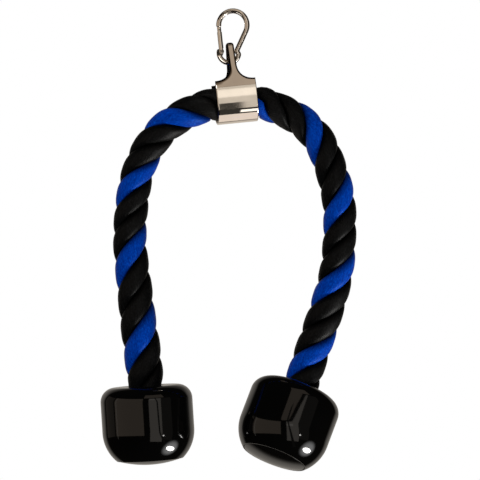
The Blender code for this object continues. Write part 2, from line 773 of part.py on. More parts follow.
def build():
    clear_scene()
    root = make_empty("hanging_point", Matrix())
    tilt = Matrix.Rotation(hook_tilt, 4, "Y")
    hook_frame = tilt @ Matrix.Translation((0, 0, -hook_height))
    gate_lean = limb_lean(gate_pivot_half_width, gate_pivot_height)
    gate_frame = (hook_frame @ Matrix.Translation((-gate_pivot_half_width, 0, gate_pivot_height))
                  @ Matrix.Rotation(-gate_lean, 4, "Y"))
    gate_joint = make_empty("gate_hinge", gate_frame, root)
    build_hook(root, hook_frame, gate_joint, gate_frame)

    collar_frame = (Matrix.Translation(collar_centre) @ Matrix.Rotation(-collar_tilt, 4, "Y")
                    @ Matrix.Rotation(collar_yaw, 4, "Z"))
    along = collar_frame.to_3x3() @ Vector((1, 0, 0))
    eye_centre = hook_frame.translation
    stem_foot = collar_frame @ Vector((0, 0, collar_shoulder_height + (collar_width - stem_width) / 2))
    offset = stem_foot.x - eye_centre.x
    swing_pivot = Vector((stem_foot.x, 0, eye_centre.z - math.sqrt(hook_eye_radius ** 2 - offset ** 2)))
    collar_joint = make_empty("collar_swing",
                              Matrix.Translation(swing_pivot) @ collar_frame.to_3x3().to_4x4(), root)
    build_collar(collar_joint, collar_frame)

    sides = (
        ("left", -1, rope_left_route, limb_left_pivot, bend_left_pivot,
         knob_frame(knob_left_top, knob_left_lean, knob_left_nod)),
        ("right", 1, rope_right_route, limb_right_pivot, bend_right_pivot,
         knob_frame(knob_right_top, knob_right_lean, knob_right_nod)),
    )
    for side, sign, route, limb_pivot, bend_pivot, frame in sides:
        upper_joint = make_empty(f"limb_{side}", Matrix.Translation(limb_pivot), collar_joint)
        lower_joint = make_empty(f"bend_{side}", Matrix.Translation(bend_pivot), upper_joint)
        twist_joint = make_empty(f"twist_{side}", frame, lower_joint)
        leaving = along * sign
        mouth = collar_frame.translation + leaving * collar_width / 2
        build_limb(side, mouth, leaving, route, frame, upper_joint, lower_joint, bend_pivot)
        build_knob(side, twist_joint, lower_joint, frame)


build()
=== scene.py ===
# Looks of a triceps rope attachment: snap hook, steel collar, three-strand rope and two moulded knobs.
# Metres, in the frame of the CAD: +Z up, front to -Y, the origin at the top of the hook's bow.

import math
from bisect import bisect_left

import bmesh
import bpy
from mathutils import Matrix, Vector, noise
from mathutils.geometry import convex_hull_2d


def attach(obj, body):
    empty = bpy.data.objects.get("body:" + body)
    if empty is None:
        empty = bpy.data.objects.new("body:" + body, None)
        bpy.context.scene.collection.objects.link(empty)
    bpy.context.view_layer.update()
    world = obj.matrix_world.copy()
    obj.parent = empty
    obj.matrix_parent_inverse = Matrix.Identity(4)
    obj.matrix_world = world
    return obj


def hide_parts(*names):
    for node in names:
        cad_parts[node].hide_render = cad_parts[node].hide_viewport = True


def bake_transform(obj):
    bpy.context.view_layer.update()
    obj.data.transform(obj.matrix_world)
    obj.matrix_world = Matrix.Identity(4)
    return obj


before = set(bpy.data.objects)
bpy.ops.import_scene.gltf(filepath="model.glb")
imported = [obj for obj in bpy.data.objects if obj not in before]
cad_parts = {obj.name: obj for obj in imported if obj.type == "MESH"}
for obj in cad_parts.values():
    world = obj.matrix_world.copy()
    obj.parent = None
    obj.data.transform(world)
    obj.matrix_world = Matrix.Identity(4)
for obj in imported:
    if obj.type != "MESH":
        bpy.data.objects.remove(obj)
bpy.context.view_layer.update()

# Gap between parts that sit against each other
seat_gap = 0.0003

# Angles up to which faces shade as one
smooth_angle = math.radians(40.0)
strap_smooth_angle = math.radians(50.0)
knob_smooth_angle = math.radians(30.0)

# Snap hook
hook_tilt = math.radians(7.9)
wire_radius = 0.00215
hook_bow_radius = 0.0117
hook_eye_radius = 0.0081
hook_bow_height = 0.0232
hook_neck_half_width = 0.0063
hook_neck_height = 0.0030
hook_neck_reach_share = 0.35
hook_eye_start = math.radians(-4.0)
hook_eye_end = math.radians(-160.0)
tongue_thickness = 0.0016
tongue_overlap = math.radians(6.0)
tongue_bend = math.radians(20.0)
tongue_steps = 6
hook_limb_point_shares = (0.17, 0.33, 0.50, 0.67, 0.84)
hook_bow_steps = 72
hook_neck_steps = 16
hook_eye_steps = 56
hook_wire_sides = 40
wire_end_round = 0.0005
wire_end_steps = 4
gate_pivot_half_width = 0.0063
gate_pivot_height = 0.0004
nose_reach = 0.0042
nose_half_width = 0.00145
plate_sides = 48
plate_bevel = 0.00018
plate_bevel_steps = 2

# Collar
collar_centre = Vector((0.0010, 0.0, -0.0737))
collar_tilt = math.radians(6.0)
collar_yaw = math.radians(7.0)
collar_width = 0.0336
collar_height = 0.0500
collar_shoulder_height = 0.0188
collar_back_shoulder_height = 0.0163
collar_front_height = 0.0130
collar_front_turn = math.radians(6.0)
collar_bend_radius = 0.0020
collar_inner_radius = 0.0152
collar_edge_round = 0.0005
strap_thickness = 0.0016
stem_width = 0.0061
stem_edge_round = 0.0019
# Painted shade along the strap's edges: its width on the left of the flare, and elsewhere
edge_shade_widths = (0.0034, 0.0019)
fold_crest_width = 0.0048
fold_inner_radius = 0.00245
# Turn of the fold over which its painted shade comes in
fold_shade_turn = math.radians(40.0)
flare_power = 2.3
strap_round_steps = 60
strap_front_steps = 8
strap_bend_steps = 5
strap_shoulder_steps = 6
strap_flare_steps = 30
strap_stem_steps = 8
strap_fold_steps = 24
strap_across_steps = 32

# Rope
crest_radius = 0.0139
valley_radius = 0.0082
mouth_swell = {"left": 0.0001, "right": -0.0010}
mouth_swell_run = 0.0120
mouth_sag = {"left": 0.0, "right": 0.0018}
mouth_sag_run = 0.0300
arch_swell = -0.0004
arch_swell_span = (0.0850, 0.1100)
lower_swell = {"left": 0.0016, "right": 0.0009}
lower_swell_span = (0.1300, 0.2450)
bore_fit_swell = 0.0002
bore_fit_run = 0.0110
core_radius = 0.0012
strand_count = 3
strand_shape_power = 2.9
strand_shape_root = 2.3
strand_gap_share = 0.006
strand_points = 34
ring_spacing = 0.0013
tangent_reach = 0.0015
route_steps = 12
rope_end_run = 0.0030
lump_share = 0.010
lump_frequency = 45.0
lump_strand_step = 7.3
cord_point_spacing = 0.004
free_length = 0.1685
shoulder_blend = 0.0800
limb_sides = ("left", "right")

# Distances from the mouth at which the blue strand faces the front
blue_front_marks = {
    "left": (0.0315, 0.0955, 0.1570, 0.2278),
    "right": (0.0570, 0.1190, 0.1815, 0.2480),
}

# Knobs
knob_radius = 0.0380
knob_height = 0.0652
knob_top_flat_radius = 0.0260
knob_shoulder_height = 0.0120
knob_straight_end = 0.0370
knob_mouth_depth = 0.0610
knob_wall = 0.0030
knob_lip_width = 0.0006
knob_bore_round = 0.0010
bore_radius = 0.0143
socket_radius = 0.0169
socket_depth = 0.0340
tail_end = 0.0457
cap_radius = 0.0265
cap_edge_height = 0.0022
cap_floor_thickness = 0.0026
cap_ledge_width = 0.0015
cap_snap_height = 0.0045
cap_snap_wall = 0.0018
cap_edge_round = 0.0004
knob_sides = 144
knob_bore_steps = 4
knob_shoulder_steps = 18
knob_belly_steps = 22
knob_inner_steps = 6
cap_dome_steps = 14

knob_places = {
    "left": (Vector((-0.0723, 0.0, -0.3076)), math.radians(-3.8), 0.0),
    "right": (Vector((0.0548, 0.0040, -0.3109)), math.radians(21.0), math.radians(-17.0)),
}

# The route of each limb from the collar's mouth to its knob, within 1.2 mm of the CAD's
rope_routes = {
    "left": [
        (-0.0345, -0.0036, -0.0807), (-0.0549, -0.0030, -0.0926), (-0.0704, -0.0015, -0.1112),
        (-0.0795, 0.0, -0.1321), (-0.0844, 0.0, -0.1603), (-0.0858, 0.0, -0.1864),
        (-0.0839, 0.0, -0.2092), (-0.0815, 0.0, -0.2292), (-0.0788, 0.0, -0.2531),
        (-0.0754, 0.0, -0.2773),
    ],
    "right": [
        (0.0345, 0.0036, -0.0774), (0.0475, 0.0038, -0.0834), (0.0601, 0.0032, -0.0924),
        (0.0709, 0.0020, -0.1056), (0.0782, 0.0010, -0.1225), (0.0847, 0.0, -0.1441),
        (0.0875, 0.0, -0.1648), (0.0873, 0.0, -0.1852), (0.0861, 0.0004, -0.2048),
        (0.0825, 0.0020, -0.2242), (0.0763, 0.0048, -0.2461), (0.0700, 0.0077, -0.2653),
        (0.0630, 0.0085, -0.2864),
    ],
}

# Sizes that follow from those above
hook_height = hook_bow_height + hook_bow_radius - wire_radius
fold_height = collar_height - fold_inner_radius - strap_thickness
strap_flare = (collar_width - stem_width) / 2

# Noises of the materials: coordinates, scale along each axis, detail and roughness
cloud_noise = ("Object", (60, 60, 60), 4.0, 0.5)
ridge_noise = ("UV", (60, 620, 1), 3.0, 0.6)
fibre_noise = ("UV", (420, 1250, 1), 4.0, 0.7)
wave_noise = ("Object", (28, 28, 28), 2.0, 0.5)
hair_noise = ("Object", (900, 900, 120), 5.0, 0.7)

# Steels: colour, lowest and highest roughness, scale and height of the grain, attribute of the painted shade
# on the edges
steel_finishes = {
    "steel_hook": ((0.80, 0.73, 0.65), (0.10, 0.15), (600, 600, 600), 0.003, None),
    "steel_gate": ((0.78, 0.72, 0.64), (0.10, 0.15), (600, 600, 400), 0.004, None),
    "steel_pin": ((0.72, 0.68, 0.62), (0.18, 0.32), (1500, 1500, 1500), 0.15, None),
    "steel_collar": ((0.80, 0.74, 0.66), (0.04, 0.09), (80, 1600, 1600), 0.03, "painted_edge_shade"),
    "steel_zinc": ((0.56, 0.58, 0.60), (0.28, 0.45), (700, 700, 700), 0.20, None),
}
steel_shadow_share = 0.90
steel_cloud_levels = (0.30, 0.70)
grain_levels = (6.0, 0.65)
grain_depth = 0.0001
# Painted shade on the collar's edges and fold: tones that the colour is multiplied by, from none to full
painted_edge_tones = ((0.10, (1.0, 1.0, 1.0)), (0.30, (0.30, 0.26, 0.22)), (0.55, (0.045, 0.034, 0.026)))

# Yarns: deep, middle and light colour, tint of the sheen, and gloss
yarn_finishes = {
    "yarn_black": (((0.0008,) * 3, (0.0028,) * 3, (0.009,) * 3), (1.0, 1.0, 1.0), 0.08),
    "yarn_blue": (((0.0, 0.010, 0.11), (0.0, 0.037, 0.345), (0.0, 0.095, 0.62)), (0.10, 0.42, 1.0), 0.16),
}
yarn_levels = (0.32, 0.50, 0.68)
yarn_roughness = (0.34, 0.54)
ridge_share = 0.25
ridge_bump = (0.45, 0.0005)
fibre_bump = (0.50, 0.0003)

# Painted shade and highlight across a strand, from its lower right groove, at 0, to its upper left groove,
# at 1: painted shade in both grooves, wider on the upper left, and a painted highlight along the lower right
# edge
painted_groove_light = ((0.0, 0.12), (0.045, 1.25), (0.14, 1.0), (0.66, 1.0), (0.84, 0.60), (1.0, 0.12))

# Plastics: grey level, lowest and highest roughness
plastic_finishes = {"plastic_shell": (0.0008, (0.04, 0.09)), "plastic_cap": (0.0010, (0.06, 0.12))}
plastic_gloss = 0.45
plastic_light_share = 1.6
plastic_wave_levels = (0.35, 0.75)
wave_bump = (0.12, 0.0008)
hair_bump = (0.06, 0.00005)

# Floor under the hanging part, and the plain ambient light
floor_radius = 1.15
floor_height = -0.50
floor_sides = 96
floor_grey = 0.86
floor_roughness = 0.9
floor_glow = 0.30
floor_fade = (0.30, 0.95)
ambient = 0.20

# Round lamps: place, aim, width and height, watts, colour, and whether gloss shows them
round_lamps = {
    "key": ((1.01, -0.27, -1.36), (0.0, 0.0, -0.22), (0.60, 0.28), 24.0, (1.0, 0.98, 0.95), True),
    "fill": ((-0.7, -1.6, 0.1), (0.0, 0.0, -0.2), (0.9, 0.9), 14.0, (0.96, 0.98, 1.0), False),
    "top": ((0.2, -0.1, 1.1), (0.0, 0.0, -0.2), (0.7, 0.7), 5.0, (1.0, 1.0, 1.0), False),
}

# Tent that only gloss sees: dark cloth, and paper behind, by how far back and how high a direction points
tent_radius = 4.0
tent_segments = (64, 32)
tent_dark = (0.010, 0.008, 0.006)
tent_paper = (0.42, 0.39, 0.35)
paper_back = (0.56, 0.74)
paper_rise = (0.15, 0.60)
paper_top_share = 0.25

# Panels in the tent: bearings from the front, heights over the horizon, both in degrees, and colour
panel_radius = 3.4
panel_step = 0.02
panel_steps = 12
tent_panels = {
    "panel_left": ((-86.0, -10.0), (-14.0, 22.0), (0.50, 0.41, 0.33)),
    "panel_right": ((5.0, 36.0), (-31.0, 22.0), (0.74, 0.68, 0.61)),
    "panel_gleam": ((6.0, 22.0), (9.9, 15.8), (1.23, 1.15, 1.05)),
    "panel_upper": ((-8.0, 46.0), (26.0, 50.0), (0.47, 0.39, 0.32)),
    "panel_line": ((-82.0, -81.0), (-20.0, 22.0), (1.0, 0.95, 0.86)),
    "panel_far": ((36.0, 64.0), (-25.0, 22.0), (0.085, 0.078, 0.07)),
    "panel_aside": ((-122.0, -90.0), (-14.0, 22.0), (0.14, 0.12, 0.10)),
    "panel_spark": ((37.0, 41.0), (-15.0, -12.0), (16.0, 15.6, 15.0)),
}

# Soft glow round the key lamp's place on the tent
glow_direction = Vector((1.06, -0.27, -1.12)).normalized()
glow_reach = math.radians(21.0)
glow_core = math.radians(5.0)
glow_colour = (3.4, 3.4, 3.4, 1.0)

# Dark flag that the collar's round front mirrors: its left and right limits on the collar, and its turns
# below the collar's middle
flag_limits = (-0.0200, 0.0036)
flag_turns = (math.radians(0.8), math.radians(36.0))
flag_distance = 0.45
flag_steps = 24
flag_colour = (0.045, 0.042, 0.038)

# Small lamps near the collar, in its frame, and near the hook, from the middle of its bow: the upper and the
# lower edge as distances forward, down, left and right, then the radiance. Lamps don't hide what is behind
# them, so their light adds to that of the panels.
wide_sides = (-0.0300, 0.0300)
collar_lamps = {
    "lamp_stripe": ((0.0371, 0.0283, 0.0062, 0.0300), (0.0320, 0.0383, 0.0056, 0.0300), (1.25, 1.22, 1.18)),
    "lamp_below": ((0.0350, 0.0600, *wide_sides), (-0.0200, 0.0600, *wide_sides), (0.77, 0.69, 0.64)),
    "lamp_behind": ((-0.0200, 0.0600, *wide_sides), (-0.0600, 0.0120, *wide_sides), (0.20, 0.18, 0.165)),
}
hook_lamps = {
    "lamp_bow": ((0.0300, -0.0350, *wide_sides), (-0.0100, -0.0500, *wide_sides), (0.30, 0.264, 0.222)),
    "lamp_eye": ((0.0380, 0.0290, -0.0420, -0.0125), (0.0340, 0.0470, -0.0420, -0.0125), (2.0, 1.95, 1.9)),
}

# Watts for each square metre of a lamp that give it a radiance of 1
lamp_watts_per_area = 4.0

# Camera: square to the front, far enough away that the knobs keep their measured outlines
frame_width = 0.3964
frame_centre = Vector((0.00521, 0.0, -0.18692))
camera_distance = 3.0
camera_place = frame_centre - Vector((0, camera_distance, 0))
camera_roll = math.radians(-0.22)
sensor_width = 36.0
view_depth = 20.0


def set_camera():
    camera = bpy.data.cameras.new("camera")
    camera.sensor_width = sensor_width
    camera.lens = sensor_width * camera_distance / frame_width
    camera.clip_end = view_depth
    obj = bpy.data.objects.new("camera", camera)
    obj.location = camera_place
    obj.rotation_euler = (math.pi / 2, camera_roll, 0)
    bpy.context.collection.objects.link(obj)
    bpy.context.scene.camera = obj


# Node materials

def new_material(name):
    material = bpy.data.materials.new(name)
    material.use_nodes = True
    return material, material.node_tree, material.node_tree.nodes["Principled BSDF"]


def feed(tree, node, links):
    """Link or set the inputs that are named or numbered, from the sockets or values that feed them."""
    for key, value in links.items():
        if isinstance(value, bpy.types.NodeSocket):
            tree.links.new(value, node.inputs[key])
        else:
            node.inputs[key].default_value = value


def add_node(tree, kind, links=None, **settings):
    node = tree.nodes.new(kind)
    for key, value in settings.items():
        setattr(node, key, value)
    feed(tree, node, links or {})
    return node


def math_of(tree, operation, *values):
    return add_node(tree, "ShaderNodeMath", dict(enumerate(values)), operation=operation).outputs[0]


def vector_math(tree, operation, *values, output="Vector"):
    node = add_node(tree, "ShaderNodeVectorMath", dict(enumerate(values)), operation=operation)
    return node.outputs[output]


def point_of(tree, source, scale=(1, 1, 1)):
    """Texture coordinates, Object or UV, with a scale along each axis."""
    coordinate = add_node(tree, "ShaderNodeTexCoord").outputs[source]
    return add_node(tree, "ShaderNodeMapping", {"Vector": coordinate, "Scale": scale}).outputs["Vector"]


def noise_of(tree, source, scale, detail, roughness):
    links = {"Vector": point_of(tree, source, scale), "Scale": 1.0, "Detail": detail,
             "Roughness": roughness}
    return add_node(tree, "ShaderNodeTexNoise", links).outputs["Fac"]


def spread(tree, value, low, high, start=0.0, end=1.0, bend="LINEAR"):
    """Stretch a value that goes from start to end between two levels."""
    levels = {"Value": value, "From Min": start, "From Max": end, "To Min": low, "To Max": high}
    return add_node(tree, "ShaderNodeMapRange", levels, interpolation_type=bend).outputs["Result"]


def bump_of(tree, height, strength, distance, normal=None):
    links = {"Height": height, "Strength": strength, "Distance": distance}
    if normal is not None:
        links["Normal"] = normal
    return add_node(tree, "ShaderNodeBump", links).outputs["Normal"]


def ramp_of(tree, value, stops):
    stops = list(stops)
    node = add_node(tree, "ShaderNodeValToRGB", {"Fac": value})
    elements = node.color_ramp.elements
    while len(elements) < len(stops):
        elements.new(0.5)
    for element, (position, colour) in zip(elements, stops):
        element.position = position
        element.color = (*colour, 1.0)
    return node.outputs["Color"]


def steel(name, colour, roughness, grain_scale, grain_bump, painted_shade_layer):
    """Plated or polished steel: faint colour drift, fine wear lines, an uneven polish, and painted shade on
    the edges where a layer gives it.
    """
    material, tree, shader = new_material(name)
    grain = noise_of(tree, "Object", grain_scale, *grain_levels)
    darker = [channel * steel_shadow_share for channel in colour]
    surface = ramp_of(tree, noise_of(tree, *cloud_noise), zip(steel_cloud_levels, (darker, colour)))
    # Painted shade: the colour darkens where the layer says so
    if painted_shade_layer:
        edge = add_node(tree, "ShaderNodeAttribute", attribute_name=painted_shade_layer).outputs["Fac"]
        surface = vector_math(tree, "MULTIPLY", surface, ramp_of(tree, edge, painted_edge_tones))
    feed(tree, shader, {
        "Base Color": surface,
        "Metallic": 1.0,
        "Roughness": spread(tree, grain, *roughness),
        "Normal": bump_of(tree, grain, grain_bump, grain_depth),
    })
    return material


def yarn(name, colours, sheen, gloss):
    """Fine filament yarns that lie nearly along the rope, with the sheen of drawn fibre, and painted shade
    and highlight across each strand.
    """
    material, tree, shader = new_material(name)
    ridge = noise_of(tree, *ridge_noise)
    fibre = noise_of(tree, *fibre_noise)
    ridge_part = math_of(tree, "MULTIPLY", ridge, ridge_share)
    mixed = math_of(tree, "MULTIPLY_ADD", fibre, 1 - ridge_share, ridge_part)
    fibres = ramp_of(tree, mixed, zip(yarn_levels, colours))
    # Painted shade in the grooves between strands and a painted highlight along each strand's lower right
    # edge
    place = add_node(tree, "ShaderNodeUVMap", uv_map="groove").outputs["UV"]
    side = add_node(tree, "ShaderNodeSeparateXYZ", {0: place}).outputs["Y"]
    painted_strand_light = ramp_of(tree, side, [(spot, (level,) * 3) for spot, level in painted_groove_light])
    feed(tree, shader, {
        "Base Color": vector_math(tree, "MULTIPLY", fibres, painted_strand_light),
        "Roughness": spread(tree, fibre, *yarn_roughness),
        "Specular IOR Level": gloss,
        "Specular Tint": (*sheen, 1.0),
        "Normal": bump_of(tree, fibre, *fibre_bump, bump_of(tree, ridge, *ridge_bump)),
    })
    return material


def moulded(name, grey, roughness):
    """Glossy moulded plastic: gentle flow waves and hairline handling marks."""
    material, tree, shader = new_material(name)
    wave = noise_of(tree, *wave_noise)
    hair = noise_of(tree, *hair_noise)
    colours = [(level,) * 3 for level in (grey, grey * plastic_light_share)]
    feed(tree, shader, {
        "Base Color": ramp_of(tree, wave, zip(plastic_wave_levels, colours)),
        "Roughness": spread(tree, hair, *roughness),
        "Specular IOR Level": plastic_gloss,
        "Normal": bump_of(tree, hair, *hair_bump, bump_of(tree, wave, *wave_bump)),
    })
    return material


# Meshes

def link_object(mesh, *materials):
    """Object with the name of its mesh."""
    obj = bpy.data.objects.new(mesh.name, mesh)
    bpy.context.collection.objects.link(obj)
    for material in materials:
        mesh.materials.append(material)
    return obj


def smooth(mesh, angle=smooth_angle):
    mesh.shade_smooth()
    mesh.set_sharp_from_angle(angle=angle)


def placed(mesh, place, material, angle=smooth_angle):
    """Object of a mesh that is moved to its place and shaded smooth."""
    mesh.transform(place)
    smooth(mesh, angle)
    return link_object(mesh, material)


def write_mesh(bm, mesh):
    bmesh.ops.recalc_face_normals(bm, faces=bm.faces)
    bm.to_mesh(mesh)
    bm.free()
    return mesh


def mesh_of(name, bm):
    return write_mesh(bm, bpy.data.meshes.new(name))


def bridge(bm, first, second):
    count = len(first)
    for index in range(count):
        after = (index + 1) % count
        bm.faces.new((first[index], first[after], second[after], second[index]))


def lofted(name, rings, closed):
    """Skin over rings of points; the ends are capped, or joined where the rings close on themselves."""
    bm = bmesh.new()
    loops = [[bm.verts.new(point) for point in ring] for ring in rings]
    for first, second in zip(loops, loops[1:]):
        bridge(bm, first, second)
    if closed:
        bridge(bm, loops[-1], loops[0])
    else:
        bm.faces.new(list(reversed(loops[0])))
        bm.faces.new(loops[-1])
    return mesh_of(name, bm)


def turned(name, profile):
    """Turn a closed outline of (radius, height) about Z; points on the axis become one vertex."""
    bm = bmesh.new()
    angles = evenly(0.0, 2 * math.pi, knob_sides)[:-1]
    loops = []
    for radius, height in profile:
        spots = [(radius * math.cos(a), radius * math.sin(a), height) for a in angles]
        loops.append([bm.verts.new(spot) for spot in (spots if radius else spots[:1])])
    for first, second in zip(loops, loops[1:] + loops[:1]):
        if len(first) == len(second) > 1:
            bridge(bm, first, second)
        elif len(first) != len(second):
            tip, loop = sorted((first, second), key=len)
            for index, vertex in enumerate(loop):
                bm.faces.new((tip[0], vertex, loop[(index + 1) % knob_sides]))
    return mesh_of(name, bm)


def tongue_plate(name, points, radius):
    """Flat plate in the XZ plane: the convex outline round discs about the points."""
    rims = [spot for point in points for spot in arc(point, radius, 0.0, 2 * math.pi, plate_sides)[:-1]]
    half = tongue_thickness / 2
    return lofted(name, [[(rims[index][0], side, rims[index][1]) for index in convex_hull_2d(rims)]
                         for side in (-half, half)], closed=False)


def evenly(start, end, steps):
    """Values from one to another in even steps, both included."""
    return [start + (end - start) * step / steps for step in range(steps + 1)]


def arc(centre, radius, start, end, steps):
    """Points of a round stretch in a plane, from one angle to another."""
    return [(centre[0] + radius * math.cos(angle), centre[1] + radius * math.sin(angle))
            for angle in evenly(start, end, steps)]


# Rope

def hermite(t, start, end, leaving, arriving):
    """Place at a share t of a cubic between two places, with its slopes at both."""
    near = (2 * t ** 3 - 3 * t ** 2 + 1) * start + (t ** 3 - 2 * t ** 2 + t) * leaving
    far = (3 * t ** 2 - 2 * t ** 3) * end + (t ** 3 - t ** 2) * arriving
    return near + far


def smooth_route(knots, per_span):
    """Points of a smooth curve through the knots, many to each span."""
    ends = [knots[0] * 2 - knots[1]] + knots + [knots[-1] * 2 - knots[-2]]
    points = []
    for before, start, end, after in zip(ends, ends[1:], ends[2:], ends[3:]):
        first = (start - before).length ** 0.5
        middle = (end - start).length ** 0.5
        last = (after - end).length ** 0.5
        leaving = (start - before) / first - (end - before) / (first + middle) + (end - start) / middle
        arriving = (end - start) / middle - (after - start) / (middle + last) + (after - end) / last
        points += [hermite(step / per_span, start, end, middle * leaving, middle * arriving)
                   for step in range(per_span)]
    points.append(knots[-1])
    return points


class Route:
    """A path that can be asked for the place and direction at any distance; its ends run on straight."""

    def __init__(self, points):
        self.points = points
        self.lengths = [0.0]
        for first, second in zip(points, points[1:]):
            self.lengths.append(self.lengths[-1] + (second - first).length)
        self.length = self.lengths[-1]

    def place(self, distance):
        if distance <= 0:
            start = self.points[0]
            return start + (self.points[1] - start).normalized() * distance
        if distance >= self.length:
            end = self.points[-1]
            return end + (end - self.points[-2]).normalized() * (distance - self.length)
        index = bisect_left(self.lengths, distance)
        span = self.lengths[index] - self.lengths[index - 1]
        share = (distance - self.lengths[index - 1]) / span
        return self.points[index - 1].lerp(self.points[index], share)

    def direction(self, distance):
        return (self.place(distance + tangent_reach) - self.place(distance - tangent_reach)).normalized()


def knob_frame(side):
    top, lean, nod = knob_places[side]
    return Matrix.Translation(top) @ Matrix.Rotation(lean, 4, "Y") @ Matrix.Rotation(nod, 4, "X")


def collar_frame():
    return (Matrix.Translation(collar_centre) @ Matrix.Rotation(-collar_tilt, 4, "Y")
            @ Matrix.Rotation(collar_yaw, 4, "Z"))


def limb_route(side):
    sign = -1 if side == "left" else 1
    place = collar_frame()
    leaving = place.to_3x3() @ Vector((sign, 0, 0))
    start = place.translation + leaving * (collar_width / 2 + seat_gap)
    knob = knob_frame(side)
    down = knob.to_3x3() @ Vector((0, 0, -1))
    end = knob.translation - down * seat_gap
    knots = [start + leaving * rope_end_run * count for count in (0, 1, 2)]
    knots += [Vector(point) for point in rope_routes[side]]
    knots += [end - down * rope_end_run * count for count in (2, 1, 0)]
    level = Route(smooth_route(knots, route_steps))
    sag = Vector((0, 0, mouth_sag[side]))
    return Route([point - sag * (1 - eased(distance, 0.0, mouth_sag_run))
                  for point, distance in zip(level.points, level.lengths)])


def blue_turn(side, distance):
    """How far the blue strand has turned from the front at a distance from the mouth, in radians."""
    marks = blue_front_marks[side]
    count = len(marks)
    slopes = []
    for index in range(count):
        low = max(index - 1, 0)
        high = min(index + 1, count - 1)
        slopes.append((high - low) / (marks[high] - marks[low]))
    if distance <= marks[0]:
        return 2 * math.pi * (distance - marks[0]) * slopes[0]
    if distance >= marks[-1]:
        return 2 * math.pi * (count - 1 + (distance - marks[-1]) * slopes[-1])
    index = bisect_left(marks, distance)
    span = marks[index] - marks[index - 1]
    share = (distance - marks[index - 1]) / span
    turns = hermite(share, index - 1, index, span * slopes[index - 1], span * slopes[index])
    return 2 * math.pi * turns


def strand_section(crest, valley):
    """Outline of one strand as (angle from its middle, radius): a bulged face and its hidden sides."""
    half = math.pi / strand_count * (1 - strand_gap_share)
    outline = []
    for step in range(strand_points + 1):
        share = math.sin(math.pi / 2 * (2 * step / strand_points - 1))
        bulge = (1 - abs(share) ** strand_shape_power) ** (1 / strand_shape_root)
        outline.append((half * share, valley + (crest - valley) * bulge))
    middle = (valley + core_radius) / 2
    outline += [(half, middle), (half, core_radius), (-half, core_radius), (-half, middle)]
    return outline


def strands(name, place_at, direction_at, turn_at, swell_at, low, high, materials):
    """Three strands twisted round a path from one distance to another, the first of them blue."""
    count = max(2, math.ceil((high - low) / ring_spacing))
    distances = evenly(low, high, count)
    vertices = []
    faces = []
    slots = []
    grain = []
    groove = []
    for strand in range(strand_count):
        first = len(vertices)
        for distance in distances:
            along = direction_at(distance)
            front = (Vector((0, -1, 0)) + along * along.y).normalized()
            aside = along.cross(front)
            place = place_at(distance)
            spot = Vector((distance * lump_frequency, strand * lump_strand_step, len(name)))
            crest = (crest_radius + swell_at(distance)) * (1 + lump_share * noise.noise(spot))
            middle = turn_at(distance) + 2 * math.pi * strand / strand_count
            for angle, radius in strand_section(crest, valley_radius + swell_at(distance)):
                around = middle + angle
                vertices.append(place + (front * math.cos(around) + aside * math.sin(around)) * radius)
                grain.append((distance, around * crest_radius))
                # Place across the strand, which places the painted groove shade and highlight
                groove.append((distance, 0.5 + angle * strand_count / (2 * math.pi)))
        points = len(strand_section(crest_radius, valley_radius))
        for ring in range(count):
            for point in range(points):
                after = (point + 1) % points
                a = first + ring * points
                faces.append((a + point, a + after, a + points + after, a + points + point))
        faces.append(tuple(range(first + points - 1, first - 1, -1)))
        faces.append(tuple(range(first + count * points, first + (count + 1) * points)))
        slots += [1 if strand == 0 else 0] * (len(faces) - len(slots))
    mesh = bpy.data.meshes.new(name)
    mesh.from_pydata(vertices, [], faces)
    mesh.polygons.foreach_set("material_index", slots)
    for layer_name, places in (("grain", grain), ("groove", groove)):
        layer = mesh.uv_layers.new(name=layer_name)
        for loop in mesh.loops:
            layer.data[loop.index].uv = places[loop.vertex_index]
    mesh.update()
    bm = bmesh.new()
    bm.from_mesh(mesh)
    smooth(write_mesh(bm, mesh))
    obj = link_object(mesh, *materials)
    return obj


def eased(value, low, high):
    """Smooth step from 0 at low to 1 at high."""
    share = min(max((value - low) / (high - low), 0.0), 1.0)
    return share * share * (3 - 2 * share)


def girth(side, distance, length):
    """Extra radius along a limb: at the collar's mouth and above the knob, whose bore squeezes it in."""
    mouth = mouth_swell[side] * (1 - eased(distance, 0.0, mouth_swell_run))
    arch = arch_swell * (1 - eased(distance, *arch_swell_span))
    lower = lower_swell[side] * eased(distance, *lower_swell_span)
    squeezed = eased(distance, length - bore_fit_run, length)
    return mouth + arch + lower * (1 - squeezed) + bore_fit_swell * squeezed


